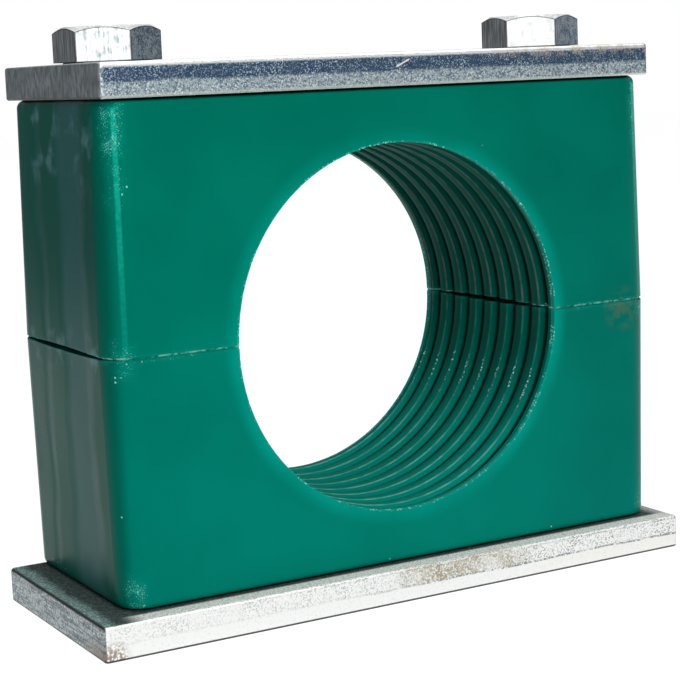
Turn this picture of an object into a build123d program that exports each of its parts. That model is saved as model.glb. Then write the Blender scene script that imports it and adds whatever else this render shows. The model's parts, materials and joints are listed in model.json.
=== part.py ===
from build123d import *
import os
from math import cos, radians, tan

# Heavy tube clamp: two moulded half jaws round a tube, held between a weld plate and a
# cover plate by two hexagon bolts, which screw into round nuts staked in the weld plate.
# Millimetres. +Z is up and the tube runs along Y. The origin is midway between the bolt
# axes, on the underside of the weld plate.

# Tube and half jaws
tube_diameter = 88.9
jaw_length = 152.0  # along X, at the parting faces
jaw_width = 60.0  # along the tube, at the parting faces
jaw_height = 57.8  # of one half
jaw_draft = 0.9  # degrees; each half narrows away from its parting face
jaw_corner_radius = 7.5
jaw_edge_radius = 2.0  # round the outer face
parting_edge_chamfer = 0.45
parting_land = 1.5  # flat strip at the front and the back where the halves meet
parting_sink = 0.65  # how far the parting face sinks between those strips

# Grip grooves round the bore
front_land = 2.6  # least rib left at the front and at the back of the bore
groove_pitch = 7.18
groove_mouth = 3.2
groove_floor = 1.8
groove_depth = 2.2
rib_nose_chamfer = 0.8  # on the side of each rib that faces the front

# Plates
weld_plate_length = 162.5
weld_plate_width = 61.5
weld_plate_thickness = 8.3
weld_plate_shift_x = -2.0  # the plate sits a little off the bolts, as it was welded up
weld_plate_shift_y = -4.0
cover_plate_length = 151.0
cover_plate_width = 61.0
cover_plate_thickness = 8.0
plate_corner_radius = 1.2
plate_edge_radius = 0.8  # where the shear has rolled the upper edge over
plate_edge_chamfer = 0.4  # along the lower edge

# Bolts
bolt_spacing = 121.0
bolt_diameter = 14.0
bolt_length = 130.0  # under the head
bolt_tip_chamfer = 1.5
head_across_flats = 22.0
head_height = 8.5
head_chamfer_angle = 30.0  # degrees
head_face_share = 0.95  # of the width across flats, left flat above and below
washer_face_height = 0.4
left_head_turn = 33.0  # degrees; where each head came to rest
right_head_turn = 26.0

# Nuts
nut_diameter = 21.0
nut_height = 12.0
nut_pilot_diameter = 17.0
nut_setback = 1.0  # the pilot stops short of the underside
nut_chamfer = 0.8

# Clearances
plate_hole_clearance = 0.75  # on the radius, round the bolts
jaw_hole_clearance = 1.0
thread_clearance = 0.05
pilot_clearance = 0.05
nut_pocket_side_clearance = 0.5
nut_pocket_end_clearance = 0.6

# Levels and sizes that follow
tube_radius = tube_diameter / 2
parting_level = weld_plate_thickness + jaw_height
jaw_top_level = parting_level + jaw_height
cover_top_level = jaw_top_level + cover_plate_thickness
bolt_radius = bolt_diameter / 2
nut_top_level = weld_plate_thickness + nut_height
bolt_places = [(-bolt_spacing / 2, 0), (bolt_spacing / 2, 0)]
bore_axis = Axis((0, 0, parting_level), (0, 1, 0))
groove_count = int((jaw_width - 2 * front_land - groove_mouth) // groove_pitch) + 1
first_groove = -jaw_width / 2 + front_land + groove_mouth / 2

os.makedirs("parts", exist_ok=True)


# The space that the tube and the grooves take out of both jaws, turned about the bore's
# axis. In the sketch X is the radius and Y runs along the tube.
with BuildPart() as bore_space:
    with BuildSketch(Plane.XY.offset(parting_level)):
        Rectangle(tube_radius, jaw_width + 2 * front_land, align=(Align.MIN, Align.CENTER))
        for number in range(groove_count):
            middle = first_groove + number * groove_pitch
            with BuildLine():
                Polyline(
                    (tube_radius - groove_depth, middle - groove_mouth / 2),
                    (tube_radius, middle - groove_mouth / 2),
                    (tube_radius + groove_depth, middle - groove_floor / 2),
                    (tube_radius + groove_depth, middle + groove_floor / 2),
                    (tube_radius, middle + groove_mouth / 2),
                    (tube_radius - groove_depth, middle + groove_mouth / 2),
                    close=True,
                )
            make_face()
            nose = (tube_radius, middle + groove_mouth / 2)
            chamfer(vertices().sort_by_distance(nose)[0], length=rib_nose_chamfer)
    revolve(axis=bore_axis)

# The lens-shaped gap that the two sunk parting faces leave between the jaws
with BuildPart() as parting_gap:
    with BuildSketch(Plane.YZ):
        reach = jaw_width / 2 - parting_land
        with BuildLine():
            ThreePointArc(
                (-reach, parting_level),
                (0, parting_level - parting_sink),
                (reach, parting_level),
            )
            ThreePointArc(
                (reach, parting_level),
                (0, parting_level + parting_sink),
                (-reach, parting_level),
            )
        make_face()
    extrude(amount=jaw_length, both=True)

# Lower half jaw, drafted downwards from the parting face
with BuildPart() as lower_jaw:
    with BuildSketch(Plane((0, 0, parting_level), x_dir=(1, 0, 0), z_dir=(0, 0, -1))):
        RectangleRounded(jaw_length, jaw_width, jaw_corner_radius)
    extrude(amount=jaw_height, taper=jaw_draft)
    fillet(faces().sort_by(Axis.Z)[0].outer_wire().edges(), radius=jaw_edge_radius)
    chamfer(faces().sort_by(Axis.Z)[-1].outer_wire().edges(), length=parting_edge_chamfer)
    add(bore_space.part, mode=Mode.SUBTRACT)
    add(parting_gap.part, mode=Mode.SUBTRACT)
    with BuildSketch(Plane.XY.offset(weld_plate_thickness)):
        with Locations(*bolt_places):
            Circle(bolt_radius + jaw_hole_clearance)
    extrude(amount=jaw_height, mode=Mode.SUBTRACT)
    with BuildSketch(Plane.XY.offset(weld_plate_thickness)):
        with Locations(*bolt_places):
            Circle(nut_diameter / 2 + nut_pocket_side_clearance)
    extrude(amount=nut_height + nut_pocket_end_clearance, mode=Mode.SUBTRACT)
lower_jaw.part.label = "lower_jaw"

# The upper half is the same moulding, turned over about the bore's axis
with BuildPart() as upper_jaw:
    add(lower_jaw.part.rotate(bore_axis, 180))
upper_jaw.part.label = "upper_jaw"

with BuildPart() as weld_plate:
    with BuildSketch():
        with Locations((weld_plate_shift_x, weld_plate_shift_y)):
            RectangleRounded(weld_plate_length, weld_plate_width, plate_corner_radius)
        with Locations(*bolt_places):
            Circle(nut_pilot_diameter / 2 + pilot_clearance, mode=Mode.SUBTRACT)
    extrude(amount=weld_plate_thickness)
    fillet(faces().sort_by(Axis.Z)[-1].outer_wire().edges(), radius=plate_edge_radius)
    chamfer(faces().sort_by(Axis.Z)[0].outer_wire().edges(), length=plate_edge_chamfer)
weld_plate.part.label = "weld_plate"

with BuildPart() as cover_plate:
    with BuildSketch(Plane.XY.offset(jaw_top_level)):
        RectangleRounded(cover_plate_length, cover_plate_width, plate_corner_radius)
        with Locations(*bolt_places):
            Circle(bolt_radius + plate_hole_clearance, mode=Mode.SUBTRACT)
    extrude(amount=cover_plate_thickness)
    fillet(faces().sort_by(Axis.Z)[-1].outer_wire().edges(), radius=plate_edge_radius)
    chamfer(faces().sort_by(Axis.Z)[0].outer_wire().edges(), length=plate_edge_chamfer)
cover_plate.part.label = "cover_plate"


def build_bolt(x, head_turn):
    """Hexagon bolt at x: its head stands on the cover plate, turned about its own axis."""
    bolt_axis = Axis((x, 0, 0), (0, 0, 1))
    head_plane = Plane.XY.offset(cover_top_level)
    flat_radius = head_across_flats / 2
    corner_radius = flat_radius / cos(radians(30))
    face_radius = flat_radius * head_face_share
    corner_drop = (corner_radius - face_radius) * tan(radians(head_chamfer_angle))
    with BuildPart() as bolt:
        with BuildSketch(Plane((x, 0, cover_top_level), (1, 0, 0), (0, -1, 0))):
            with BuildLine():
                Polyline(
                    (0, 0),
                    (face_radius, 0),
                    (face_radius, washer_face_height),
                    (corner_radius, washer_face_height),
                    (corner_radius, head_height - corner_drop),
                    (face_radius, head_height),
                    (0, head_height),
                    close=True,
                )
            make_face()
        revolve(axis=bolt_axis)
        with BuildSketch(head_plane):
            with Locations((x, 0)):
                RegularPolygon(flat_radius, 6, major_radius=False, rotation=head_turn)
        extrude(amount=head_height, mode=Mode.INTERSECT)
        with BuildSketch(head_plane):
            with Locations((x, 0)):
                Circle(bolt_radius)
        extrude(amount=-bolt_length)
        tip = faces().sort_by(Axis.Z)[0]
        chamfer(tip.edges(), length=bolt_tip_chamfer)
    return bolt.part


def build_weld_nut(x):
    """Round nut at x, with a pilot that is staked in the weld plate's hole."""
    with BuildPart() as nut:
        with BuildSketch(Plane.XY.offset(weld_plate_thickness)):
            with Locations((x, 0)):
                Circle(nut_diameter / 2)
        extrude(amount=nut_height)
        chamfer(faces().sort_by(Axis.Z)[-1].edges(), length=nut_chamfer)
        with BuildSketch(Plane.XY.offset(weld_plate_thickness)):
            with Locations((x, 0)):
                Circle(nut_pilot_diameter / 2)
        extrude(amount=nut_setback - weld_plate_thickness)
        with BuildSketch():
            with Locations((x, 0)):
                Circle(bolt_radius + thread_clearance)
        extrude(amount=nut_top_level, mode=Mode.SUBTRACT)
    return nut.part


left_bolt = build_bolt(-bolt_spacing / 2, left_head_turn)
left_bolt.label = "left_bolt"
right_bolt = build_bolt(bolt_spacing / 2, right_head_turn)
right_bolt.label = "right_bolt"
left_weld_nut = build_weld_nut(-bolt_spacing / 2)
left_weld_nut.label = "left_weld_nut"
right_weld_nut = build_weld_nut(bolt_spacing / 2)
right_weld_nut.label = "right_weld_nut"

export_step(weld_plate.part, "parts/weld_plate.step")
export_step(left_weld_nut, "parts/left_weld_nut.step")
export_step(right_weld_nut, "parts/right_weld_nut.step")
export_step(lower_jaw.part, "parts/lower_jaw.step")
export_step(upper_jaw.part, "parts/upper_jaw.step")
export_step(cover_plate.part, "parts/cover_plate.step")
export_step(left_bolt, "parts/left_bolt.step")
export_step(right_bolt, "parts/right_bolt.step")
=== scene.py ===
"""Dress the tube clamp: finishes for its jaws, plates, nuts and bolts, and a plain studio."""

import json
import math

import bpy
from bpy.props import FloatProperty, FloatVectorProperty, PointerProperty
from mathutils import Matrix, Vector


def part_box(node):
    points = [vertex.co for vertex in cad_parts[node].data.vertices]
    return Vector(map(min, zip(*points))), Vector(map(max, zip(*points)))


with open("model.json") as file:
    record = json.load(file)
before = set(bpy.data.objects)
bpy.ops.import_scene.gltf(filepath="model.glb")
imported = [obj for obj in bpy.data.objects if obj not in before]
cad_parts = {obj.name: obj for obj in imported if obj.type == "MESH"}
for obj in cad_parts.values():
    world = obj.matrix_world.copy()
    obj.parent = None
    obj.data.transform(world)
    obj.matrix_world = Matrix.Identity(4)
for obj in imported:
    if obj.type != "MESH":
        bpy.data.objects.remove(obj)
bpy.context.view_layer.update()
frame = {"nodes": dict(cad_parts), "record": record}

bl_info = {
    "name": "Tube clamp",
    "version": (1, 0, 0),
    "blender": (4, 5, 0),
    "location": "View3D > Sidebar > Clamp",
    "description": "Finishes a tube clamp's jaws, plates and bolts and sets up a studio",
    "category": "Object",
}

MM = 0.001
MOUNTS = {mount["name"]: mount for mount in frame["record"]["mounts"]}
BORE_CENTRE = Vector(MOUNTS["tube_bore"]["pos_m"])
BORE_RADIUS = MOUNTS["tube_bore"]["dims"]["r_mm"] * MM
LOWER_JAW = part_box("lower_jaw")
UPPER_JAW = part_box("upper_jaw")
WELD_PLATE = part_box("weld_plate")
COVER_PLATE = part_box("cover_plate")
JAW_HALF_WIDTH = -LOWER_JAW[0].y
JAW_END = UPPER_JAW[1].x
COVER_END = COVER_PLATE[1].x


# ---------------------------------------------------------------- settings


def colour_setting(name, description, default):
    """A colour that a user may change."""
    return FloatVectorProperty(
        name=name,
        description=description,
        subtype="COLOR",
        size=3,
        min=0.0,
        max=1.0,
        default=default,
    )


class ClampFinish(bpy.types.PropertyGroup):
    """Colours and surface sizes of the clamp's pieces."""

    jaw_colour: colour_setting("Jaw colour", "Green of the moulded half jaws", (0.0, 0.195, 0.14))
    # paler green of the moulding skin and scuffs, also used for the painted highlight round the bore
    # and the painted light on the lower crests
    skin_and_highlight_colour: colour_setting(
        "Skin colour", "Lighter green of the moulding skin round the bore", (0.0, 0.36, 0.28)
    )
    # painted reflection: grey-green laid on the sink bands of the ends
    sink_sheen_colour: colour_setting(
        "Sink colour", "Grey-green of the sink bands on the ends", (0.022, 0.115, 0.11)
    )
    rub_colour: colour_setting("Rub colour", "Blue-grey of rubbed patches", (0.12, 0.27, 0.3))
    scuff_colour: colour_setting("Scuff colour", "Pale green of rubbed plastic", (0.27, 0.82, 0.7))
    zinc_colour: colour_setting("Zinc colour", "Bright zinc plating", (0.78, 0.8, 0.8))
    dull_zinc_colour: colour_setting(
        "Dull zinc colour", "Grey-blue of burnished or dulled plating", (0.13, 0.18, 0.23)
    )
    burnished_colour: colour_setting(
        "Burnished colour", "Dark blue of zinc that the shear has burnished", (0.045, 0.09, 0.16)
    )
    pale_zinc_colour: colour_setting(
        "Pale zinc colour", "Near-white zinc of the weld plate", (0.88, 0.89, 0.88)
    )
    # painted shade: dark grey of the plates' ends
    end_shade_colour: colour_setting(
        "Plate end colour", "Dull grey of the plates' ends", (0.4, 0.45, 0.46)
    )
    # painted shade and reflection of the jaw on the weld plate's upper face
    top_shade_colour: colour_setting(
        "Grime colour", "Dark grey-green film on the weld plate's upper face", (0.032, 0.05, 0.047)
    )
    stain_colour: colour_setting(
        "Stain colour", "Yellow-brown stain on the weld plate's front edge", (0.36, 0.31, 0.18)
    )
    rust_colour: colour_setting("Rust colour", "Brown of the first rust", (0.22, 0.12, 0.06))
    rib_pitch: FloatProperty(
        name="Rib pitch",
        description="Distance from one rib of the bore to the next",
        unit="LENGTH",
        default=7.18 * MM,
    )
    left_head_turn: FloatProperty(
        name="Left head turn",
        description="Turn of the left bolt's head at rest, in degrees",
        default=33.0,
    )
    right_head_turn: FloatProperty(
        name="Right head turn",
        description="Turn of the right bolt's head at rest, in degrees",
        default=26.0,
    )
    thread_pitch: FloatProperty(
        name="Thread pitch",
        description="Rise of the bolts' thread in one turn",
        unit="LENGTH",
        default=2 * MM,
    )
    thread_length: FloatProperty(
        name="Thread length",
        description="Length of the thread from the bolt's tip",
        unit="LENGTH",
        default=40 * MM,
    )
    first_groove: FloatProperty(
        name="First groove",
        description="From the front of the jaw to the middle of the first groove",
        unit="LENGTH",
        default=4.2 * MM,
    )


class ClampCamera(bpy.types.PropertyGroup):
    """Where the camera stands and what its lens takes in."""

    azimuth: FloatProperty(
        name="Azimuth",
        description="Turn about the vertical; nought looks along +Y",
        unit="ROTATION",
        default=math.radians(-29.112),
    )
    elevation: FloatProperty(
        name="Elevation",
        description="Angle above the horizon",
        unit="ROTATION",
        default=math.radians(7.258),
    )
    roll: FloatProperty(
        name="Roll",
        description="Turn of the camera about its own line of sight",
        unit="ROTATION",
        default=math.radians(-2.315),
    )
    distance: FloatProperty(
        name="Distance",
        description="From the camera to the point it is aimed at",
        unit="LENGTH",
        default=0.457274,
    )
    aim: FloatVectorProperty(
        name="Aim",
        description="Point that the camera is aimed at",
        subtype="TRANSLATION",
        size=3,
        default=(-0.00357, 0.0, 0.069878),
    )
    lens: FloatProperty(
        name="Lens",
        description="Focal length in millimetres on a 36 mm sensor",
        default=95.367018,
    )
    shift_x: FloatProperty(
        name="Shift X",
        description="Sideways shift of the lens, as a share of the frame",
        default=0.0145,
    )
    shift_y: FloatProperty(
        name="Shift Y",
        description="Upward shift of the lens, as a share of the frame",
        default=-0.0558662,
    )


class ClampStudio(bpy.types.PropertyGroup):
    """Strengths of the studio's lamps and surroundings."""

    key_power: FloatProperty(
        name="Key lamp",
        description="Power of the large lamp beside the camera, in watts",
        default=7.3,
    )
    fill_power: FloatProperty(
        name="Top lamp",
        description="Power of the lamp overhead, in watts",
        default=4.5,
    )
    ambient: FloatProperty(
        name="Ambient",
        description="Strength of the light from all round on matt surfaces",
        default=0.16,
    )
    wall_grey: FloatProperty(
        name="Wall grey",
        description="Brightness of the studio walls that the metal mirrors",
        default=0.1,
    )
    flag_grey: FloatProperty(
        name="Flag grey",
        description="Brightness of the dark card behind the clamp's left end",
        default=0.21,
    )
    strip_glow: FloatProperty(
        name="Strip glow",
        description="Brightness of the narrow strip mirrored by the bolts' front facets",
        default=4.0,
    )


# ---------------------------------------------------------------- node helpers


def put(tree, kind, inputs=None, **settings):
    """Adds a node, sets its properties and its inputs; an input may be a value or a socket."""
    node = tree.nodes.new(kind)
    for name, value in settings.items():
        setattr(node, name, value)
    for name, value in (inputs or {}).items():
        if isinstance(value, bpy.types.NodeSocket):
            tree.links.new(value, node.inputs[name])
        else:
            node.inputs[name].default_value = value
    return node


def calc(tree, operation, a, b=0.0, c=0.0):
    """Result of one Math node."""
    return put(tree, "ShaderNodeMath", {0: a, 1: b, 2: c}, operation=operation).outputs[0]


def times(tree, first, *others):
    """Product of the values."""
    for value in others:
        first = calc(tree, "MULTIPLY", first, value)
    return first


def largest(tree, first, *others):
    """Largest of the values."""
    for value in others:
        first = calc(tree, "MAXIMUM", first, value)
    return first


def ramp(tree, value, start, end, low=0.0, high=1.0):
    """Smooth step of value, from low at start to high at end."""
    inputs = {"Value": value, "From Min": start, "From Max": end, "To Min": low, "To Max": high}
    node = put(tree, "ShaderNodeMapRange", inputs, interpolation_type="SMOOTHSTEP")
    return node.outputs["Result"]


def apart(tree, value, centre):
    """How far the value is from a centre, either way."""
    return calc(tree, "ABSOLUTE", calc(tree, "SUBTRACT", value, centre))


def window(tree, value, rise, fall):
    """One where the value lies between two slopes, each given as its start and its end."""
    return times(tree, ramp(tree, value, *rise), ramp(tree, value, *fall))


def blend(tree, share, a, b, mode="MIX"):
    """Colour a, with colour b laid over it by share."""
    node = put(tree, "ShaderNodeMix", data_type="RGBA", blend_type=mode)
    for index, value in ((0, share), (6, a), (7, b)):
        if isinstance(value, bpy.types.NodeSocket):
            tree.links.new(value, node.inputs[index])
        elif index == 0:
            node.inputs[index].default_value = value
        else:
            node.inputs[index].default_value = (*value, 1.0)
    return node.outputs[2]


def noise(tree, place, size, detail=2.0, stretch=(1.0, 1.0, 1.0), offset=(0.0, 0.0, 0.0)):
    """Noise whose features are about size metres across, longer along a stretched axis."""
    scale = [1.0 / (size * s) for s in stretch]
    mapping = put(tree, "ShaderNodeMapping", {"Vector": place, "Scale": scale, "Location": offset})
    inputs = {"Vector": mapping.outputs[0], "Scale": 1.0, "Detail": detail}
    return put(tree, "ShaderNodeTexNoise", inputs).outputs["Fac"]


def patches(tree, place, size, detail, offset, start, end, low=0.0, high=1.0):
    """Soft patches: noise that is low up to start and high from end on."""
    return ramp(tree, noise(tree, place, size, detail, offset=offset), start, end, low, high)


def specks(tree, place, spacing, radius, share, seed=0.0):
    """Mask of small round specks, one in each cell for a share of the cells."""
    shift = (seed, seed * 0.7, seed * 1.3)
    mapping = put(tree, "ShaderNodeMapping", {"Vector": place, "Location": shift})
    inputs = {"Vector": mapping.outputs[0], "Scale": 1.0 / spacing}
    cells = put(tree, "ShaderNodeTexVoronoi", inputs)
    near = ramp(tree, cells.outputs["Distance"], radius / spacing, radius / spacing * 0.5)
    split = put(tree, "ShaderNodeSeparateColor", {0: cells.outputs["Color"]})
    chosen = calc(tree, "LESS_THAN", split.outputs[0], share)
    return times(tree, near, chosen)


def distance_from(tree, first, second):
    """Length of the vector whose two parts are each a value less its centre."""
    parts = []
    for value, centre in (first, second):
        parts.append(calc(tree, "SUBTRACT", value, centre) if centre else value)
    flat = put(tree, "ShaderNodeCombineXYZ", {0: parts[0], 1: parts[1]})
    length = put(tree, "ShaderNodeVectorMath", {0: flat.outputs[0]}, operation="LENGTH")
    return length.outputs["Value"]


def shade(colour, factor):
    """The colour made darker or lighter."""
    return tuple(min(1.0, part * factor) for part in colour)


def start_material(name):
    """A material with one Principled shader, and sockets for the place on the piece."""
    material = bpy.data.materials.new(name)
    material.use_nodes = True
    tree = material.node_tree
    tree.nodes.clear()
    shader = put(tree, "ShaderNodeBsdfPrincipled")
    output = put(tree, "ShaderNodeOutputMaterial")
    tree.links.new(shader.outputs[0], output.inputs["Surface"])
    place = put(tree, "ShaderNodeTexCoord").outputs["Object"]
    split = put(tree, "ShaderNodeSeparateXYZ", {0: place})
    return material, tree, shader, place, split.outputs


def set_bump(tree, shader, height, distance, strength=1.0):
    """Feeds a height map in nought to one to the shader; distance is its full height."""
    inputs = {"Height": height, "Distance": distance, "Strength": strength}
    bump = put(tree, "ShaderNodeBump", inputs)
    tree.links.new(bump.outputs[0], shader.inputs["Normal"])


def set_input(tree, shader, name, value):
    """Sets or links one input of the shader."""
    if isinstance(value, bpy.types.NodeSocket):
        tree.links.new(value, shader.inputs[name])
    else:
        shader.inputs[name].default_value = value


def dress(name, material):
    """Gives a CAD node one material."""
    slots = frame["nodes"][name].data.materials
    slots.clear()
    slots.append(material)


# ---------------------------------------------------------------- finish of the jaws

CREST_START = 2.5 * MM  # from the middle of a groove to the front edge of the next rib's crest
CORNER_HIGHLIGHT_FACING = (0.485, 0.875, 0.0)  # how the surface faces along the painted highlight on the corners


class JawPlaces:
    """Where a point lies on the jaws, as sockets that the layers of their finish share."""

    def __init__(self, finish, tree, place, axes):
        self.tree = tree
        self.place = place
        self.x, self.y, self.z = axes
        self.off_x = calc(tree, "ABSOLUTE", self.x)
        self.off_y = calc(tree, "ABSOLUTE", self.y)
        self.above_axis = calc(tree, "SUBTRACT", self.z, BORE_CENTRE.z)
        self.from_parting = calc(tree, "ABSOLUTE", self.above_axis)
        self.near_parting = ramp(tree, self.from_parting, 7 * MM, 1 * MM)
        self.radius = distance_from(tree, (self.x, 0.0), (self.above_axis, 0.0))
        normal = put(tree, "ShaderNodeNewGeometry").outputs["Normal"]
        self.turned = put(tree, "ShaderNodeVectorMath", {0: normal}, operation="ABSOLUTE").outputs[0]
        self.cloud = noise(tree, place, 26 * MM)

        # the faces round the bore, and the bore inside its front and back rims
        rim = JAW_HALF_WIDTH - 1.7 * MM
        self.on_front = ramp(tree, self.off_y, rim, rim + 0.6 * MM)
        self.inside = ramp(tree, self.off_y, rim, rim - 0.6 * MM)
        on_crest = ramp(tree, self.radius, BORE_RADIUS + 1.3 * MM, BORE_RADIUS + 0.7 * MM)
        self.on_crest = times(tree, on_crest, self.inside)

        # distance behind the middle of the nearest groove in front
        along = calc(tree, "SUBTRACT", self.y, finish.first_groove - JAW_HALF_WIDTH)
        self.behind_groove = calc(tree, "FLOORED_MODULO", along, finish.rib_pitch)

        self.on_end, self.band = end_bands(self)


def end_bands(jaw):
    """Masks of the ends and of the broad upright bands where their skin has sunk."""
    tree = jaw.tree
    on_end = ramp(tree, jaw.off_x, JAW_END - 1.9 * MM, JAW_END - 1.3 * MM)
    on_end = times(tree, on_end, ramp(tree, jaw.y, -25 * MM, -21 * MM))
    drift = noise(tree, jaw.place, 26 * MM, offset=(0.0, 0.0, 6.0))
    across = calc(tree, "ADD", jaw.y, calc(tree, "MULTIPLY_ADD", drift, 9 * MM, -4.5 * MM))
    wide_band = window(tree, across, (-19 * MM, -13 * MM), (2 * MM, -4 * MM))
    thin_band = window(tree, across, (8 * MM, 11.5 * MM), (15 * MM, 11.5 * MM))
    far_band = ramp(tree, across, 15 * MM, 24 * MM, 0.0, 0.35)
    return on_end, largest(tree, wide_band, times(tree, thin_band, 0.45), far_band)


def jaw_ground(finish, jaw):
    """Cloudy green, darker to the right, with painted light that makes it lighter and bluer low
    down, and painted shade round the upright corners and on the ends.
    """
    tree = jaw.tree
    green = finish.jaw_colour
    # painted light: the tints below make the jaws darker towards the top and lighter towards the
    # foot
    top_shade_tint = (0.93, 0.93, 0.88)
    foot_light_tint = (1.0, 1.13, 1.18)
    right_tint = (0.86, 0.86, 0.89)
    colour = blend(tree, ramp(tree, jaw.cloud, 0.3, 0.7), shade(green, 0.93), shade(green, 1.07))
    tint = blend(tree, ramp(tree, jaw.z, UPPER_JAW[1].z, LOWER_JAW[0].z), top_shade_tint, foot_light_tint)
    colour = blend(tree, 1.0, colour, tint, "MULTIPLY")
    to_right = ramp(tree, jaw.x, 10 * MM, 70 * MM)
    colour = blend(tree, to_right, colour, blend(tree, 1.0, colour, right_tint, "MULTIPLY"))
    # painted shade on faces turned to the sides: the upright corners and the ends
    sideways = put(tree, "ShaderNodeSeparateXYZ", {0: jaw.turned}).outputs[0]
    return blend(tree, ramp(tree, sideways, 0.55, 0.9, 0.0, 0.6), colour, shade(green, 0.4))


def jaw_rim(finish, jaw, colour):
    """Lighter moulding skin round the bore with a painted highlight of the rounded rim, and a
    chipped arris.
    """
    tree, place = jaw.tree, jaw.place
    # lighter band round the bore: moulding skin and a painted highlight of the rounded rim, stronger
    # low down
    halo = ramp(tree, jaw.radius, BORE_RADIUS + 4.6 * MM, BORE_RADIUS)
    uneven = patches(tree, place, 18 * MM, 1.0, (3.0, 1.0, 0.0), 0.25, 0.75, 0.35, 0.9)
    by_height = ramp(tree, jaw.above_axis, 40 * MM, -10 * MM, 0.55, 1.0)
    halo = times(tree, halo, jaw.on_front, uneven, by_height)
    colour = blend(tree, halo, colour, finish.skin_and_highlight_colour)

    arris = ramp(tree, jaw.radius, BORE_RADIUS + 0.6 * MM, BORE_RADIUS + 0.1 * MM)
    arris = times(tree, arris, jaw.on_front)
    low = ramp(tree, jaw.above_axis, 10 * MM, -15 * MM)
    right = ramp(tree, jaw.x, -10 * MM, 15 * MM)
    vivid = calc(tree, "MULTIPLY_ADD", times(tree, low, right), 0.5, 0.4)
    colour = blend(tree, times(tree, arris, vivid), colour, finish.skin_and_highlight_colour)
    clusters = patches(tree, place, 7 * MM, 2.0, (0.0, 4.0, 0.0), 0.4, 0.65)
    chipped = specks(tree, place, 0.5 * MM, 0.27 * MM, times(tree, clusters, 0.8), 8.3)
    return blend(tree, times(tree, arris, chipped), colour, finish.scuff_colour)


def jaw_grooves(finish, jaw, colour):
    """Painted shade in the grooves, fading up the sides of the ribs, and darker green on the crests,
    with painted light on the lower crests.
    """
    tree = jaw.tree
    green = finish.jaw_colour
    # painted shade: near black in the grooves
    below_crest = ramp(tree, jaw.radius, BORE_RADIUS - 0.1 * MM, BORE_RADIUS + 1.5 * MM)
    above_floor = ramp(tree, jaw.radius, BORE_RADIUS + 3.2 * MM, BORE_RADIUS + 2.6 * MM)
    groove_shade = times(tree, below_crest, jaw.inside, above_floor)
    colour = blend(tree, times(tree, groove_shade, 0.95), colour, shade(green, 0.1))
    # painted shade on the crests, with painted light where the lower crests face up
    lit_low_down = ramp(tree, jaw.above_axis, -8 * MM, -40 * MM, 0.0, 0.7)
    crest_shade_and_light = blend(tree, lit_low_down, shade(green, 0.5), finish.skin_and_highlight_colour)
    return blend(tree, jaw.on_crest, colour, crest_shade_and_light)


def jaw_crests(_finish, jaw, colour):
    """Painted highlight along the front edge of each rib's crest, with painted glints low on the
    right.
    """
    tree, place = jaw.tree, jaw.place
    # painted highlight colours: grey high up, dim green near the parting, pale low down
    grey_highlight = (0.15, 0.19, 0.19)
    dim_highlight = (0.03, 0.2, 0.165)
    pale_highlight = (0.22, 0.6, 0.52)
    glint_colour = (0.62, 0.95, 0.87)
    from_edge = apart(tree, jaw.behind_groove, CREST_START)
    edge = times(tree, ramp(tree, from_edge, 0.42 * MM, 0.14 * MM), jaw.on_crest)
    crest_highlight_breaks = patches(tree, place, 3 * MM, 3.0, (6.0, 0.0, 1.0), 0.35, 0.65, 0.25, 0.8)
    line = blend(tree, ramp(tree, jaw.above_axis, 4 * MM, -4 * MM), grey_highlight, dim_highlight)
    line = blend(tree, ramp(tree, jaw.above_axis, -22 * MM, -40 * MM), line, pale_highlight)
    colour = blend(tree, times(tree, edge, crest_highlight_breaks), colour, line)

    # painted glints on the crest edges, low on the right
    glint = specks(tree, place, 0.6 * MM, 0.3 * MM, 0.55, 3.9)
    zone = window(tree, jaw.above_axis, (-14 * MM, -17 * MM), (-28 * MM, -20 * MM))
    zone = times(tree, zone, ramp(tree, jaw.x, 0.0, 5 * MM))
    return blend(tree, times(tree, edge, glint, zone), colour, glint_colour)


def jaw_ends(finish, jaw, colour):
    """Painted shade on the ends with a paler painted reflection on the sink bands, and rubbed
    patches near the plate and the parting.
    """
    tree = jaw.tree
    # painted shade on the ends, with a paler painted reflection on the sunk bands
    end_shade_and_sheen = blend(tree, jaw.band, shade(finish.jaw_colour, 0.45), finish.sink_sheen_colour)
    colour = blend(tree, jaw.on_end, colour, end_shade_and_sheen)
    near_plate = ramp(tree, jaw.above_axis, 34 * MM, 46 * MM)
    rub = patches(tree, jaw.place, 7 * MM, 3.0, (0.0, 9.0, 2.0), 0.52, 0.72)
    rub = times(tree, rub, largest(tree, jaw.near_parting, near_plate), jaw.on_end)
    return blend(tree, times(tree, rub, 0.75), colour, finish.rub_colour)


def scuff_density(jaw):
    """How thick the scuffs lie: most on the upright corners near the plates and the parting."""
    tree = jaw.tree
    corner = distance_from(
        tree, (jaw.off_x, JAW_END - 3.2 * MM), (jaw.off_y, JAW_HALF_WIDTH - 1.6 * MM)
    )
    at_corner = ramp(tree, corner, 4.6 * MM, 0.8 * MM)
    high_up = ramp(tree, jaw.above_axis, 26 * MM, 52 * MM)
    low_down = ramp(tree, jaw.above_axis, -46 * MM, -54 * MM)
    by_height = largest(tree, high_up, low_down, times(tree, jaw.near_parting, 0.6), 0.04)
    patchy = patches(tree, jaw.place, 4 * MM, 2.0, (1.0, 0.0, 5.0), 0.35, 0.6, 0.25, 1.0)
    on_corner = times(tree, at_corner, by_height, patchy)
    on_lip = times(tree, ramp(tree, jaw.from_parting, 1.6 * MM, 0.4 * MM), patchy, 0.35)
    at_foot = times(tree, ramp(tree, jaw.above_axis, -52 * MM, -57 * MM), 0.12)
    return largest(tree, on_corner, on_lip, at_foot)


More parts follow.
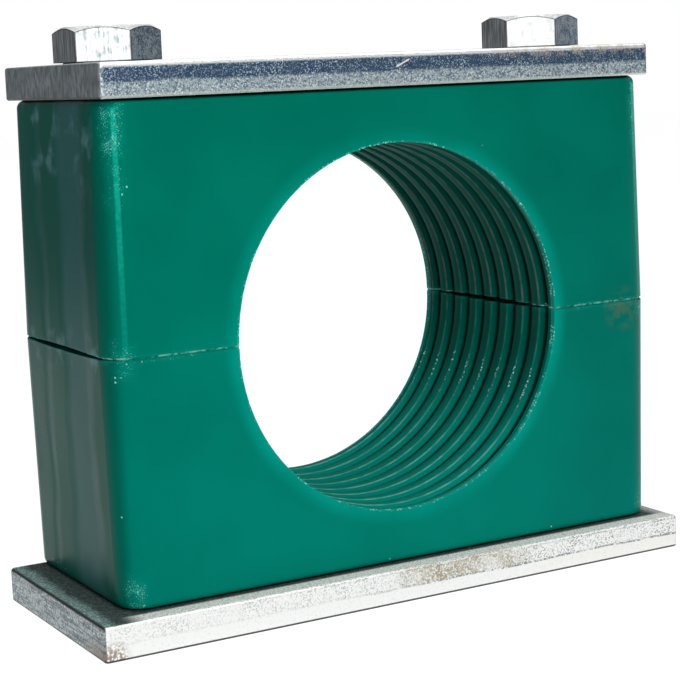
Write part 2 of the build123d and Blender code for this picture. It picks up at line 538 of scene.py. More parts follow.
def jaw_corners(_finish, jaw, colour):
    """Painted highlight: a vivid line up each corner of the upper jaw, fading towards the parting.
    """
    tree = jaw.tree
    # painted highlight: a vivid line where the corner faces one way
    line_colour = (0.01, 0.56, 0.4)
    highlight_facing = put(
        tree, "ShaderNodeVectorMath", {0: jaw.turned, 1: CORNER_HIGHLIGHT_FACING}, operation="DOT_PRODUCT"
    ).outputs["Value"]
    line = ramp(tree, highlight_facing, 0.9935, 0.9994, 0.0, 0.72)
    by_height = ramp(tree, jaw.above_axis, 0.5 * MM, 50 * MM, 0.3, 1.0)
    on_upper = ramp(tree, jaw.above_axis, 0.0, 1 * MM)
    corner_highlight_breaks = patches(tree, jaw.place, 1.2 * MM, 3.0, (0.0, 8.0, 3.0), 0.35, 0.65, 0.55, 1.0)
    return blend(tree, times(tree, line, by_height, on_upper, corner_highlight_breaks), colour, line_colour)


def jaw_scuffs(finish, jaw, colour):
    """Fine pale scuffs and chips, and a few specks of dust all over."""
    tree, place = jaw.tree, jaw.place
    pale = finish.scuff_colour
    density = scuff_density(jaw)
    colour = blend(tree, times(tree, density, 0.4), colour, finish.skin_and_highlight_colour)
    grain = noise(tree, place, 0.26 * MM, offset=(2.0, 7.0, 0.0))
    grain = calc(tree, "MULTIPLY_ADD", density, 0.2, grain)
    scuff = times(tree, ramp(tree, grain, 0.7, 0.84), ramp(tree, density, 0.03, 0.12), 0.85)
    chips = specks(tree, place, 1.1 * MM, 0.3 * MM, times(tree, density, 0.25), 6.1)
    colour = blend(tree, times(tree, largest(tree, scuff, chips), 0.9), colour, pale)
    dust = specks(tree, place, 8 * MM, 0.24 * MM, 0.25)
    return blend(tree, times(tree, dust, 0.4), colour, pale)


def jaw_seams(finish, jaw, colour):
    """Torn lip of flash above the parting, black painted shadow at the plates, a brown smear on the
    right.
    """
    tree, place = jaw.tree, jaw.place
    smear_x = 66 * MM
    smear_z = -2 * MM
    lip = window(tree, jaw.above_axis, (0.02 * MM, 0.14 * MM), (0.62 * MM, 0.4 * MM))
    torn = patches(tree, place, 1.6 * MM, 4.0, (5.0, 0.0, 2.0), 0.42, 0.62, 0.0, 0.75)
    colour = blend(tree, times(tree, lip, torn), colour, finish.scuff_colour)

    # painted shadow: black lines at the foot and top of the jaws, where the plates meet them
    foot = LOWER_JAW[0].z
    top = UPPER_JAW[1].z
    jaw_foot_shadow = ramp(tree, jaw.z, foot + 0.85 * MM, foot + 0.45 * MM)
    jaw_top_shadow = ramp(tree, jaw.z, top - 0.85 * MM, top - 0.45 * MM)
    seam_shadow = times(tree, largest(tree, jaw_foot_shadow, jaw_top_shadow), 0.95)
    colour = blend(tree, seam_shadow, colour, shade(finish.jaw_colour, 0.03))

    from_smear = distance_from(tree, (jaw.x, smear_x), (jaw.above_axis, smear_z))
    smear = patches(tree, place, 3 * MM, 3.0, (0.0, 0.0, 0.0), 0.4, 0.65, 0.0, 0.25)
    smear = times(tree, ramp(tree, from_smear, 7 * MM, 2 * MM), smear)
    return blend(tree, smear, colour, finish.rust_colour)


JAW_LAYERS = (jaw_rim, jaw_grooves, jaw_crests, jaw_ends, jaw_corners, jaw_scuffs, jaw_seams)


def jaw_material(finish):
    """Moulded green plastic: pale rubbed edges and painted highlights, sink bands on the ends,
    painted shade on the ends and in the grooves.
    """
    material, tree, shader, place, axes = start_material("moulded_green_plastic")
    jaw = JawPlaces(finish, tree, place, axes)
    colour = jaw_ground(finish, jaw)
    for layer in JAW_LAYERS:
        colour = layer(finish, jaw, colour)
    set_input(tree, shader, "Base Color", colour)

    # satin outside, rougher in the bore, with a weak green reflection all over
    bore_roughness = 0.62
    in_bore = ramp(tree, jaw.radius, BORE_RADIUS + 4 * MM, BORE_RADIUS + 3.5 * MM)
    bore_rough = times(tree, in_bore, jaw.inside, bore_roughness)
    rough = largest(tree, ramp(tree, jaw.cloud, 0.3, 0.7, 0.27, 0.35), bore_rough)
    set_input(tree, shader, "Roughness", rough)
    set_input(tree, shader, "Specular IOR Level", 0.06)
    set_input(tree, shader, "Specular Tint", (0.03, 1.0, 0.84, 1.0))

    # relief in millimetres: rounded crests, sinks on the ends, and a fine moulded skin
    crest_rise = 0.32
    sink_depth = 0.22
    skin_rise = 0.012
    from_middle = apart(tree, jaw.behind_groove, finish.rib_pitch / 2)
    crests = times(tree, ramp(tree, from_middle, 2.1 * MM, 0.7 * MM), jaw.on_crest, crest_rise)
    sinks = times(tree, jaw.band, jaw.on_end, -sink_depth)
    skin = noise(tree, place, 0.5 * MM)
    height = calc(tree, "MULTIPLY_ADD", skin, skin_rise, calc(tree, "ADD", crests, sinks))
    set_bump(tree, shader, height, 1 * MM)
    return material


# ---------------------------------------------------------------- finish of the plates


def edge_masks(tree, place, z, box, seed):
    """Masks of a plate: its flat faces, its ends, and the share of its height, plain and waved."""
    low, high = box
    normal = put(tree, "ShaderNodeNewGeometry").outputs["Normal"]
    turned = put(tree, "ShaderNodeSeparateXYZ", {0: normal}).outputs
    flat = ramp(tree, calc(tree, "ABSOLUTE", turned[2]), 0.76, 0.95)
    ends = ramp(tree, calc(tree, "ABSOLUTE", turned[0]), 0.45, 0.68)
    up = times(tree, calc(tree, "SUBTRACT", z, low.z), 1 / (high.z - low.z))
    wave_height = 0.22
    wave = noise(tree, place, 16 * MM, 3.0, offset=(seed, 0, 0))
    wave = calc(tree, "MULTIPLY_ADD", wave, wave_height, -wave_height / 2)
    return flat, ends, up, calc(tree, "ADD", up, wave)


def cover_edge(finish, tree, grains, up, waved):
    """Long edges, from the foot up: pale arris, torn band, burnished band, rolled-over arris with a
    painted highlight.
    """
    fine, finer, coarse = grains
    grey = finish.dull_zinc_colour
    torn_grey = (0.5, 0.6, 0.62)
    torn_white = (0.88, 0.95, 0.97)
    worn_blue = (0.6, 0.72, 0.8)
    foot_arris = (0.72, 0.74, 0.66)
    torn = blend(tree, ramp(tree, fine, 0.34, 0.62), shade(grey, 1.25), torn_grey)
    torn = blend(tree, ramp(tree, finer, 0.56, 0.68), torn, torn_white)
    torn = blend(tree, ramp(tree, finer, 0.43, 0.33, 0.0, 0.7), torn, shade(grey, 0.4))
    speck = times(tree, ramp(tree, finer, 0.5, 0.66), ramp(tree, coarse, 0.35, 0.65, 0.35, 0.85))
    burnished = blend(tree, speck, finish.burnished_colour, worn_blue)
    edge = blend(tree, ramp(tree, waved, 0.38, 0.5), torn, burnished)
    edge = blend(tree, ramp(tree, up, 0.11, 0.05, 0.0, 0.6), edge, foot_arris)
    # painted highlight along the rolled-over arris at the top
    rolled_highlight = ramp(tree, calc(tree, "MULTIPLY_ADD", fine, 0.06, up), 0.85, 0.93)
    return blend(tree, rolled_highlight, edge, shade(finish.zinc_colour, 1.2))


def cover_end(finish, tree, place, up):
    """Ends: painted shade, dull grey all over, faintly streaked upright, with painted shadow along
    the foot.
    """
    # painted shade: the ends are dark grey
    painted_shade_grey = shade(finish.end_shade_colour, 0.92)
    foot_shadow_black = (0.02, 0.02, 0.02)
    streak = noise(tree, place, 1.2 * MM, 4.0, stretch=(1.0, 1.0, 2.5))
    face = blend(tree, ramp(tree, streak, 0.3, 0.7), shade(painted_shade_grey, 0.6), shade(painted_shade_grey, 1.3))
    blotch = patches(tree, place, 6 * MM, 3.0, (0.0, 2.0, 0.0), 0.35, 0.65, 0.0, 0.5)
    face = blend(tree, blotch, face, shade(painted_shade_grey, 0.75))
    # painted shadow along the foot
    return blend(tree, ramp(tree, up, 0.07, 0.04, 0.0, 0.95), face, foot_shadow_black)


def cover_scratch(tree, x, z, flat, colour):
    """One long slanting scratch near the middle of the long edges."""
    middle_x = 1.7 * MM
    middle_z = 129.2 * MM
    slope = 0.45
    bare_metal = (0.95, 0.96, 0.96)
    aside = calc(tree, "SUBTRACT", x, middle_x)
    rise = calc(tree, "MULTIPLY_ADD", aside, -slope, calc(tree, "SUBTRACT", z, middle_z))
    scratch = ramp(tree, calc(tree, "ABSOLUTE", rise), 0.3 * MM, 0.12 * MM)
    length = ramp(tree, calc(tree, "ABSOLUTE", aside), 2.1 * MM, 1.6 * MM)
    scratch = times(tree, scratch, length, calc(tree, "SUBTRACT", 1.0, flat))
    return blend(tree, scratch, colour, bare_metal)


def cover_rust(tree, place, x, y, up, fine, colour):
    """A breath of rust along the front top arris, on the right."""
    dark_tan = (0.34, 0.26, 0.17)
    pale_tan = (0.74, 0.66, 0.54)
    rust = patches(tree, place, 3 * MM, 4.0, (2.0, 1.0, 4.0), 0.42, 0.6, 0.0, 0.5)
    to_right = ramp(tree, x, 20 * MM, 42 * MM)
    at_top = ramp(tree, up, 0.62, 0.84)
    at_front = ramp(tree, y, -26 * MM, -28.5 * MM)
    tan = blend(tree, ramp(tree, fine, 0.36, 0.56), dark_tan, pale_tan)
    return blend(tree, times(tree, rust, to_right, at_top, at_front), colour, tan)


def cover_plate_material(finish):
    """Zinc-plated bar: blue burnished band over a pale torn one on its sheared edges."""
    material, tree, shader, place, (x, y, z) = start_material("zinc_cover_plate")
    flat, ends, up, waved = edge_masks(tree, place, z, COVER_PLATE, 7.0)
    fine = noise(tree, place, 0.55 * MM, 3.0)
    finer = noise(tree, place, 0.34 * MM, offset=(4.0, 0.0, 0.0))
    coarse = noise(tree, place, 5 * MM, 3.0, offset=(7.0, 0.0, 7.0))
    bright = finish.zinc_colour

    # flat faces: bright zinc with a dull bloom
    mottle = calc(tree, "MULTIPLY_ADD", fine, 0.5, times(tree, coarse, 0.5))
    face = blend(tree, ramp(tree, mottle, 0.4, 0.6), shade(bright, 0.55), shade(bright, 0.86))

    # edges, chipped at the corners
    edge = cover_edge(finish, tree, (fine, finer, coarse), up, waved)
    off_x = calc(tree, "ABSOLUTE", x)
    corner = ramp(tree, off_x, COVER_END - 1.3 * MM, COVER_END - 0.5 * MM, 0.0, 0.8)
    chipped = blend(tree, ramp(tree, fine, 0.4, 0.6), shade(finish.dull_zinc_colour, 0.9), bright)
    edge = blend(tree, corner, edge, chipped)
    edge = blend(tree, ends, edge, cover_end(finish, tree, place, up))

    colour = blend(tree, flat, edge, face)
    colour = cover_scratch(tree, x, z, flat, colour)
    colour = cover_rust(tree, place, x, y, up, fine, colour)
    set_input(tree, shader, "Base Color", colour)
    set_input(tree, shader, "Metallic", 1.0)
    set_input(tree, shader, "Roughness", ramp(tree, fine, 0.35, 0.65, 0.5, 0.36))
    set_bump(tree, shader, fine, 0.08 * MM, 0.8)
    return material


def weld_edge(finish, tree, place, x, grains, waved):
    """Long edges: a smooth band below, a thin torn line, and a speckled, stained band above."""
    fine, finer, coarse = grains
    white = finish.pale_zinc_colour
    blue_pit = (0.17, 0.23, 0.28)
    brown_pit = (0.34, 0.32, 0.25)
    warm_tint = (1.0, 0.97, 0.92)
    stain_middle = 12 * MM
    line_height = 0.46
    upper = ramp(tree, waved, 0.44, 0.5)
    pitted = times(
        tree,
        ramp(tree, finer, 0.5, 0.62),
        ramp(tree, coarse, 0.35, 0.65, 0.35, 0.95),
        ramp(tree, x, -70 * MM, 40 * MM, 0.5, 1.0),
    )
    tint = patches(tree, place, 0.9 * MM, 2.0, (0.0, 0.0, 8.0), 0.4, 0.6)
    speckled = blend(tree, pitted, white, blend(tree, tint, blue_pit, brown_pit))
    from_stain = apart(tree, x, stain_middle)
    stain = times(
        tree,
        ramp(tree, from_stain, 24 * MM, 8 * MM),
        ramp(tree, fine, 0.4, 0.6, 0.15, 0.9),
        ramp(tree, coarse, 0.35, 0.6, 0.3, 1.0),
    )
    speckled = blend(tree, stain, speckled, finish.stain_colour)
    smooth = blend(tree, ramp(tree, finer, 0.56, 0.7, 0.0, 0.5), white, shade(white, 0.75))
    edge = blend(tree, upper, smooth, speckled)

    from_line = apart(tree, waved, line_height)
    line = times(
        tree,
        ramp(tree, from_line, 0.04, 0.018),
        ramp(tree, x, -40 * MM, 30 * MM, 0.12, 0.8),
        ramp(tree, fine, 0.38, 0.56),
    )
    edge = blend(tree, line, edge, shade(finish.dull_zinc_colour, 0.6))
    warm = times(tree, ramp(tree, x, 10 * MM, 60 * MM, 0.0, 0.5), calc(tree, "SUBTRACT", 1.0, upper))
    return blend(tree, warm, edge, blend(tree, 1.0, edge, warm_tint, "MULTIPLY"))


def weld_end(finish, tree, place, fine):
    """Ends: painted shade, dull and mottled, with fine lines along them."""
    # painted shade: the ends are dark grey
    grey = finish.end_shade_colour
    along = noise(tree, place, 0.5 * MM, stretch=(20.0, 20.0, 1.0), offset=(0.0, 0.0, 3.0))
    face = blend(tree, ramp(tree, fine, 0.3, 0.66), shade(grey, 0.42), shade(grey, 1.15))
    lines = ramp(tree, along, 0.5, 0.6, 0.0, 0.6)
    return blend(tree, lines, face, shade(finish.dull_zinc_colour, 0.55))


def weld_face(finish, tree, x, y, grains):
    """Flat faces: painted shade and reflection of the jaw near it and at the left, clean along the
    front.
    """
    fine, finer, coarse = grains
    jaw_front = -JAW_HALF_WIDTH
    # painted shade and reflection of the jaw: dark grey-green near the jaw and at the left, lighter
    # at the far left
    shade_tone = finish.top_shade_colour
    clean_white = (0.97, 0.97, 0.95)
    clean_grey = (0.6, 0.59, 0.54)
    outer = ramp(tree, calc(tree, "MULTIPLY_ADD", coarse, 3 * MM, x), -77 * MM, -80 * MM)
    shade_layer = blend(tree, outer, shade_tone, shade(shade_tone, 4.5))
    specked_shade = blend(tree, 1.0, shade_layer, (2.6, 2.6, 2.6), "MULTIPLY")
    shaded_top = blend(tree, ramp(tree, fine, 0.42, 0.66), shade_layer, specked_shade)
    clean = blend(tree, ramp(tree, finer, 0.45, 0.62), clean_white, clean_grey)
    to_left = ramp(tree, x, -72 * MM, -78 * MM)
    near_jaw = ramp(tree, y, jaw_front - 0.6 * MM, jaw_front + 0.6 * MM)
    shade_share = times(tree, largest(tree, to_left, near_jaw), ramp(tree, x, 78 * MM, 74 * MM, 0.4, 1.0))
    return blend(tree, shade_share, clean, shaded_top)


def weld_arrises(finish, tree, axes, fine, colour):
    """Rust at the front left corner, painted shadow along the foot, and a dark line along the left
    arris.
    """
    x, y, z = axes
    low, high = WELD_PLATE
    foot_shadow_black = (0.02, 0.022, 0.024)
    arris_black = (0.02, 0.025, 0.025)
    from_corner = distance_from(tree, (x, low.x + 2 * MM), (z, 0.6 * MM))
    rust = times(
        tree,
        ramp(tree, from_corner, 5 * MM, 1.5 * MM),
        ramp(tree, fine, 0.4, 0.55),
        ramp(tree, y, -20 * MM, -30 * MM, 0.0, 0.8),
    )
    colour = blend(tree, rust, colour, finish.rust_colour)
    # painted shadow along the foot
    foot = ramp(tree, z, 0.64 * MM, 0.5 * MM, 0.0, 0.95)
    colour = blend(tree, foot, colour, foot_shadow_black)
    at_left = ramp(tree, x, low.x + 0.75 * MM, low.x + 0.4 * MM)
    at_top = ramp(tree, z, high.z - 0.75 * MM, high.z - 0.35 * MM)
    return blend(tree, times(tree, at_left, at_top, 0.85), colour, arris_black)


def weld_plate_material(finish):
    """Pale zinc-plated bar: speckled band over a smooth one, painted shade and reflection on the top
    near the jaw and at the left, painted shade on the ends.
    """
    material, tree, shader, place, (x, y, z) = start_material("zinc_weld_plate")
    flat, ends, _up, waved = edge_masks(tree, place, z, WELD_PLATE, 1.0)
    fine = noise(tree, place, 0.5 * MM, 3.0, offset=(0.0, 3.0, 0.0))
    finer = noise(tree, place, 0.42 * MM, offset=(4.0, 0.0, 0.0))
    coarse = noise(tree, place, 7 * MM, 4.0, offset=(1.0, 0.0, 1.0))
    grains = (fine, finer, coarse)
    edge = weld_edge(finish, tree, place, x, grains, waved)
    edge = blend(tree, ends, edge, weld_end(finish, tree, place, fine))
    colour = blend(tree, flat, edge, weld_face(finish, tree, x, y, grains))
    colour = weld_arrises(finish, tree, (x, y, z), fine, colour)
    set_input(tree, shader, "Base Color", colour)

    # the flat faces are dulled almost to paint
    metal = calc(tree, "SUBTRACT", 1.0, times(tree, flat, 0.92))
    rough = largest(tree, ramp(tree, fine, 0.35, 0.65, 0.6, 0.42), times(tree, flat, 0.88))
    set_input(tree, shader, "Metallic", metal)
    set_input(tree, shader, "Roughness", rough)
    set_input(tree, shader, "Specular IOR Level", 0.2)
    set_bump(tree, shader, fine, 0.07 * MM, 0.8)
    return material


# ---------------------------------------------------------------- finish of the bolts and nuts

HEAD_ACROSS_FLATS = 22 * MM
HEAD_FACE_SHARE = 0.95  # of the width across flats, left flat on top
CROWN_SLOPE = math.tan(math.radians(30))


class BoltPlaces:
    """Where a point lies on a bolt, and its grains, as sockets that its layers share."""

    def __init__(self, tree, place, axes, node, turn):
        self.tree = tree
        self.low, self.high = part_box(node)
        middle = (self.low + self.high) / 2
        x, y, self.z = axes
        self.aside = calc(tree, "SUBTRACT", x, middle.x)
        self.angle = calc(tree, "ARCTAN2", calc(tree, "SUBTRACT", y, middle.y), self.aside)
        self.radius = distance_from(tree, (x, middle.x), (y, middle.y))
        self.turn = turn
        self.coarse = noise(tree, place, 2.4 * MM, 3.0, offset=(turn, 0.0, 0.0))
        self.fine = noise(tree, place, 0.5 * MM, 3.0)
        self.scratches = noise(
            tree, place, 0.5 * MM, stretch=(1.0, 1.0, 14.0), offset=(0.0, turn, 0.0)
        )
        self.mottle = calc(tree, "MULTIPLY_ADD", self.fine, 0.6, times(tree, self.coarse, 0.4))


def bolt_facets(finish, bolt, dirt):
    """Facets with painted reflections: bright to the front and back, dull blue to the right, dull
    grey to the left.
    """
    tree = bolt.tree
    painted_shade_grey = (0.38, 0.39, 0.395)
    pale_blue = (0.55, 0.64, 0.7)
    smudge_colour = (0.12, 0.2, 0.21)
    most_pale = 0.66 + 0.38 * dirt
    # painted reflections: facets facing front and back bright, those facing right dull blue, those
    # facing left dull grey
    from_front = calc(tree, "SUBTRACT", bolt.angle, math.radians(bolt.turn + 30))
    highlight_facing = ramp(tree, calc(tree, "ABSOLUTE", calc(tree, "COSINE", from_front)), 0.862, 0.87)
    to_right = ramp(tree, bolt.aside, -2 * MM, 2 * MM)
    pale = ramp(tree, bolt.mottle, 0.38, 0.58, 0.15, most_pale)
    dull_blue_reflection = blend(tree, pale, finish.burnished_colour, pale_blue)
    scratched = ramp(tree, bolt.scratches, 0.35, 0.7)
    dull_grey_shade = blend(tree, scratched, shade(painted_shade_grey, 0.65), shade(painted_shade_grey, 1.6))
    soft = calc(tree, "MULTIPLY_ADD", bolt.scratches, 0.4, times(tree, bolt.coarse, 0.6))
    smudge = ramp(tree, soft, 0.56, 0.34, 0.0, dirt)
    plating_and_sheen = blend(tree, smudge, shade(finish.zinc_colour, 1.18), smudge_colour)
    return blend(tree, highlight_facing, blend(tree, to_right, dull_grey_shade, dull_blue_reflection), plating_and_sheen)


def bolt_lines(bolt):
    """Mask of the dark lines between the facets and under the crown, and of the painted shadow round
    the foot.
    """
    tree = bolt.tree
    seat = COVER_PLATE[1].z
    into_facet = calc(tree, "SUBTRACT", bolt.angle, math.radians(bolt.turn))
    into_facet = calc(tree, "FLOORED_MODULO", into_facet, math.pi / 3)
    from_middle = apart(tree, into_facet, math.pi / 6)
    arris = ramp(tree, from_middle, math.radians(28.6), math.radians(29.3))
    outside_face = calc(tree, "SUBTRACT", bolt.radius, HEAD_ACROSS_FLATS / 2 * HEAD_FACE_SHARE)
    crown_level = calc(tree, "SUBTRACT", bolt.high.z, times(tree, outside_face, CROWN_SLOPE))
    below_crown = calc(tree, "SUBTRACT", crown_level, bolt.z)
    crown_line = ramp(tree, below_crown, 0.3 * MM, 0.16 * MM)
    # painted shadow round the foot of the head
    bolt_foot_shadow = ramp(tree, bolt.z, seat + 0.62 * MM, seat + 0.45 * MM)
    return largest(tree, arris, crown_line, bolt_foot_shadow)


def bolt_thread(finish, bolt):
    """Ridge of the right-hand thread, and a mask of the threaded length."""
    tree = bolt.tree
    pitch = finish.thread_pitch
    thread_top = bolt.low.z + finish.thread_length
    winding = calc(tree, "MULTIPLY_ADD", bolt.angle, -pitch / (2 * math.pi), bolt.z)
    ridge = ramp(tree, calc(tree, "PINGPONG", winding, pitch / 2), 0.0, pitch / 2)
    return ridge, ramp(tree, bolt.z, thread_top, thread_top - 1 * MM)


def bolt_material(finish, node, turn, dirt):
    """Zinc-plated bolt: facets in turn bright and dulled by painted reflections, with dark arrises
    and a painted shadow round the foot.
    """
    material, tree, shader, place, axes = start_material("zinc_" + node)
    bolt = BoltPlaces(tree, place, axes, node, turn)
    bright = finish.zinc_colour
    seat = COVER_PLATE[1].z
    line_colour = (0.03, 0.035, 0.045)
    side = bolt_facets(finish, bolt, dirt)
    # dark lines between facets and under the crown, and painted shadow round the foot
    side = blend(tree, times(tree, bolt_lines(bolt), 0.8), side, line_colour)
    mottled = ramp(tree, bolt.mottle, 0.4, 0.6)
    top = blend(tree, mottled, shade(bright, 0.7), bright)
    normal = put(tree, "ShaderNodeNewGeometry").outputs["Normal"]
    tilt = put(tree, "ShaderNodeSeparateXYZ", {0: normal}).outputs[2]
    head = blend(tree, ramp(tree, tilt, 0.3, 0.5), side, top)

    ridge, threaded = bolt_thread(finish, bolt)
    shank = blend(tree, mottled, shade(bright, 0.55), shade(bright, 0.85))
    # painted shade in the thread's roots
    root_shade = times(tree, ramp(tree, ridge, 0.4, 0.0), threaded, 0.7)
    shank = blend(tree, root_shade, shank, shade(bright, 0.12))
    colour = blend(tree, ramp(tree, bolt.z, seat - 0.2 * MM, seat), shank, head)

    set_input(tree, shader, "Base Color", colour)
    set_input(tree, shader, "Metallic", 1.0)
    set_input(tree, shader, "Roughness", ramp(tree, bolt.coarse, 0.3, 0.7, 0.3, 0.42))
    height = calc(tree, "MULTIPLY_ADD", bolt.fine, 0.06, times(tree, ridge, threaded))
    set_bump(tree, shader, height, 0.9 * MM, 0.8)
    return material


def nut_material():
    """Plain turned steel with faint tool rings."""
    material, tree, shader, place, _axes = start_material("turned_steel")
    rings = noise(tree, place, 0.3 * MM, stretch=(20.0, 20.0, 1.0))
    dark_steel = (0.3, 0.29, 0.28)
    pale_steel = (0.5, 0.5, 0.49)
    stain = patches(tree, place, 4 * MM, 4.0, (0.0, 0.0, 0.0), 0.35, 0.7)
    colour = blend(tree, stain, dark_steel, pale_steel)
    set_input(tree, shader, "Base Color", colour)
    set_input(tree, shader, "Metallic", 1.0)
    set_input(tree, shader, "Roughness", ramp(tree, rings, 0.3, 0.7, 0.3, 0.5))
    set_bump(tree, shader, rings, 0.03 * MM, 0.8)
    return material


# ---------------------------------------------------------------- operators


class CLAMP_OT_jaws(bpy.types.Operator):
    """Finish both half jaws in moulded green plastic"""

    bl_idname = "clamp.jaws"
    bl_label = "Finish jaws"

    def execute(self, context):
        material = jaw_material(context.scene.clamp_finish)
        dress("lower_jaw", material)
        dress("upper_jaw", material)
        return {"FINISHED"}


class CLAMP_OT_plates(bpy.types.Operator):
    """Finish the weld plate and the cover plate in zinc"""

    bl_idname = "clamp.plates"
    bl_label = "Finish plates"

    def execute(self, context):
        finish = context.scene.clamp_finish
        dress("weld_plate", weld_plate_material(finish))
        dress("cover_plate", cover_plate_material(finish))
        return {"FINISHED"}


class CLAMP_OT_bolts(bpy.types.Operator):
    """Finish the two hexagon bolts"""

    bl_idname = "clamp.bolts"
    bl_label = "Finish bolts"

    def execute(self, context):
        finish = context.scene.clamp_finish
        left_dirt = 0.75
        right_dirt = 0.15
        dress("left_bolt", bolt_material(finish, "left_bolt", finish.left_head_turn, left_dirt))
        dress("right_bolt", bolt_material(finish, "right_bolt", finish.right_head_turn, right_dirt))
        return {"FINISHED"}


class CLAMP_OT_weld_nuts(bpy.types.Operator):
    """Finish the two weld nuts"""

    bl_idname = "clamp.weld_nuts"
    bl_label = "Finish weld nuts"

    def execute(self, context):
        material = nut_material()
        dress("left_weld_nut", material)
        dress("right_weld_nut", material)
        return {"FINISHED"}


class CLAMP_OT_stage(bpy.types.Operator):
    """Set up the floor, the studio walls, the lamps and the camera"""

    bl_idname = "clamp.stage"
    bl_label = "Set up studio"

    def execute(self, context):
        studio = context.scene.clamp_studio
        make_floor()
        make_walls(studio.wall_grey)
        make_flag(studio.flag_grey)
        make_strip(studio.strip_glow)
        make_lamp("key_lamp", KEY_LAMP_PLACE, KEY_LAMP_SIZE, studio.key_power)
        make_lamp("top_lamp", TOP_LAMP_PLACE, TOP_LAMP_SIZE, studio.fill_power)
        make_world(context.scene, studio.ambient)
        make_camera(context.scene)
        context.scene.view_settings.view_transform = "Standard"
        return {"FINISHED"}


KEY_LAMP_PLACE = Vector((-0.24, -0.97, 0.68))
KEY_LAMP_SIZE = (0.62, 0.5)
TOP_LAMP_PLACE = Vector((0.1, -0.1, 1.3))
TOP_LAMP_SIZE = (0.9, 0.9)
FLOOR_RADIUS = 4.0
WALL_RADIUS = 2.0
WALL_HEIGHT = 1.0
WALL_MIDDLE = 0.62
MIRRORED_TINT = (0.9, 0.95, 1.0)


def seen_directly(tree):
    """One for rays from the camera, from mirrors and through glass, and nought for others."""
    path = put(tree, "ShaderNodeLightPath").outputs
    return largest(tree, path["Is Camera Ray"], path["Is Glossy Ray"], path["Is Transmission Ray"])


def flat_material(name, colour, strength, matt_share):
    """Matt to the light; to the camera and mirrors a glow, but for its matt share."""
    material = bpy.data.materials.new(name)
    material.use_nodes = True
    tree = material.node_tree
    tree.nodes.clear()
    glow = put(tree, "ShaderNodeEmission", {"Color": (*colour, 1.0), "Strength": strength})
    matt = put(tree, "ShaderNodeBsdfDiffuse", {"Color": (*colour, 1.0)})
    share = times(tree, seen_directly(tree), 1.0 - matt_share)
    mix = put(tree, "ShaderNodeMixShader", {0: share, 1: matt.outputs[0], 2: glow.outputs[0]})
    output = put(tree, "ShaderNodeOutputMaterial")
    tree.links.new(mix.outputs[0], output.inputs["Surface"])
    return material


def make_floor():
    """Pale floor, white to the camera apart from the clamp's shadow."""
    bpy.ops.mesh.primitive_circle_add(vertices=96, radius=FLOOR_RADIUS, fill_type="NGON")
    floor = bpy.context.object
    floor.name = "floor"
    white = flat_material("pale_floor", (1.0, 1.0, 1.0), strength=1.2, matt_share=0.2)
    floor.data.materials.append(white)


def mirror_only(card, name, colour, strength):
    """Gives a card a plain glow and hides it from everything but mirrors."""
    card.name = name
    material = bpy.data.materials.new(name)
    material.use_nodes = True
    tree = material.node_tree
    tree.nodes.clear()
    glow = put(tree, "ShaderNodeEmission", {"Color": (*colour, 1.0), "Strength": strength})
    output = put(tree, "ShaderNodeOutputMaterial")
    tree.links.new(glow.outputs[0], output.inputs["Surface"])
    card.data.materials.append(material)
    card.visible_camera = False
    card.visible_diffuse = False
    card.visible_shadow = False
    card.visible_transmission = False


def make_walls(grey):
    """Round grey wall that only mirrors see: it gives the metal something darker to reflect."""
    bpy.ops.mesh.primitive_cylinder_add(
        vertices=64,
        radius=WALL_RADIUS,
        depth=WALL_HEIGHT,
        end_fill_type="NOTHING",
        location=(0, 0, WALL_MIDDLE),
    )
    wall = bpy.context.object
    bpy.ops.object.transform_apply(location=True, rotation=False, scale=False)
    mirror_only(wall, "studio_wall", MIRRORED_TINT, grey)


def stand_card(place, bearing, size):
    """Upright card whose face is square to a bearing, measured round from +X."""
    rotation = (math.pi / 2, 0, bearing + math.pi / 2)
    bpy.ops.mesh.primitive_plane_add(size=1.0, location=place, rotation=rotation)
    card = bpy.context.object
    card.scale = (*size, 1.0)
    bpy.ops.object.transform_apply(location=True, rotation=True, scale=True)
    return card


def make_flag(grey):
    """Dark card standing behind and to the left, mirrored by the left ends and facets."""
    bearing = math.radians(147)
    distance = 0.5
    height = 0.3
    aside = Vector((math.cos(bearing), math.sin(bearing), 0))
    card = stand_card(aside * distance + Vector((0, 0, height)), bearing, (1.3, 0.6))
    mirror_only(card, "dark_card", MIRRORED_TINT, grey)


def make_strip(glow):
    """Narrow upright strip beside the camera, mirrored by the bolts' front facets."""
    place = Vector((-0.333, -0.397, 0.2))
    card = stand_card(place, math.radians(235), (0.05, 0.4))
    mirror_only(card, "light_strip", (1.0, 1.0, 1.0), glow)


def make_lamp(name, place, size, power):
    """Soft rectangular lamp aimed at the clamp."""
    bpy.ops.object.light_add(type="AREA", location=place)
    lamp = bpy.context.object
    lamp.name = name
    lamp.data.shape = "RECTANGLE"
    lamp.data.size, lamp.data.size_y = size
    lamp.data.energy = power
    aim = Vector((0, 0, BORE_CENTRE.z)) - place
    lamp.rotation_euler = aim.to_track_quat("-Z", "Y").to_euler()


def make_world(scene, ambient):
    """White surroundings to the camera and mirrors, softer light to matt surfaces."""
    world = bpy.data.worlds.new("white_studio")
    scene.world = world
    world.use_nodes = True
    tree = world.node_tree
    tree.nodes.clear()
    strength = ramp(tree, seen_directly(tree), 0.0, 1.0, ambient, 1.0)
    white = put(tree, "ShaderNodeBackground", {"Color": (1, 1, 1, 1), "Strength": strength})
    output = put(tree, "ShaderNodeOutputWorld")
    tree.links.new(white.outputs[0], output.inputs["Surface"])


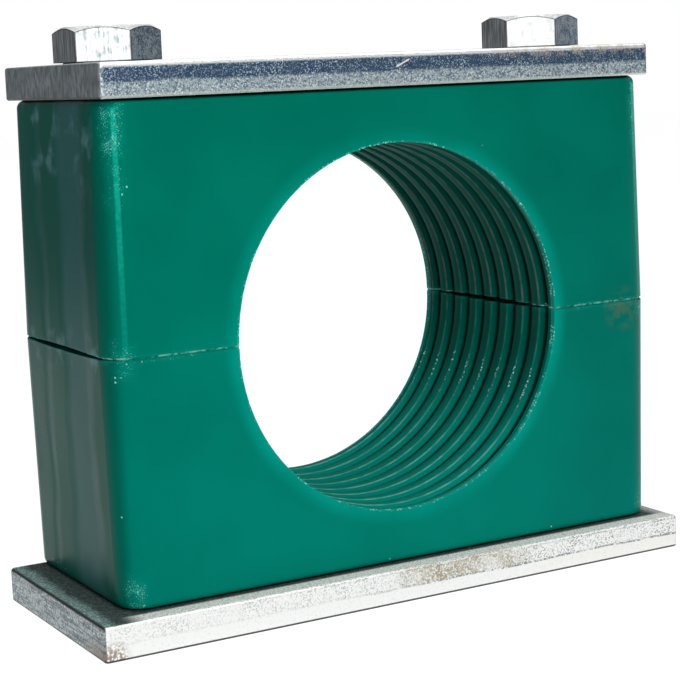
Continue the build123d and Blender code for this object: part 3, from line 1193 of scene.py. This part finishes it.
def make_camera(scene):
    """Camera at its azimuth, elevation and roll about the point it is aimed at."""
    view = scene.clamp_camera
    turn, lift = view.azimuth, view.elevation
    level = math.cos(lift)
    back = Vector((math.sin(turn) * level, -math.cos(turn) * level, math.sin(lift)))
    right = (-back).cross(Vector((0, 0, 1))).normalized()
    up = right.cross(-back)
    axes = Matrix((right, up, back)).transposed().to_4x4()
    roll = Matrix.Rotation(view.roll, 4, "Z")
    data = bpy.data.cameras.new("camera")
    data.lens = view.lens
    data.shift_x, data.shift_y = view.shift_x, view.shift_y
    data.clip_start = 0.01
    camera = bpy.data.objects.new("camera", data)
    scene.collection.objects.link(camera)
    camera.matrix_world = Matrix.Translation(Vector(view.aim) + back * view.distance) @ axes @ roll
    scene.camera = camera


# ---------------------------------------------------------------- panel and run


class CLAMP_PT_panel(bpy.types.Panel):
    """Lists the clamp's steps and settings"""

    bl_label = "Tube clamp"
    bl_idname = "CLAMP_PT_panel"
    bl_space_type = "VIEW_3D"
    bl_region_type = "UI"
    bl_category = "Clamp"

    def draw(self, context):
        layout = self.layout
        for step in STEPS:
            layout.operator(step.bl_idname)
        for group in SETTINGS:
            settings = getattr(context.scene, group)
            column = layout.column(align=True)
            for name in settings.__annotations__:
                column.prop(settings, name)


STEPS = (CLAMP_OT_jaws, CLAMP_OT_plates, CLAMP_OT_bolts, CLAMP_OT_weld_nuts, CLAMP_OT_stage)
SETTINGS = {"clamp_finish": ClampFinish, "clamp_camera": ClampCamera, "clamp_studio": ClampStudio}
CLASSES = (*SETTINGS.values(), *STEPS, CLAMP_PT_panel)


def register():
    for cls in CLASSES:
        bpy.utils.register_class(cls)
    for name, group in SETTINGS.items():
        setattr(bpy.types.Scene, name, PointerProperty(type=group))


def unregister():
    for name in SETTINGS:
        delattr(bpy.types.Scene, name)
    for cls in reversed(CLASSES):
        bpy.utils.unregister_class(cls)


def main():
    register()
    bpy.ops.clamp.jaws()
    bpy.ops.clamp.plates()
    bpy.ops.clamp.bolts()
    bpy.ops.clamp.weld_nuts()
    bpy.ops.clamp.stage()


if __name__ == "__main__":
    main()
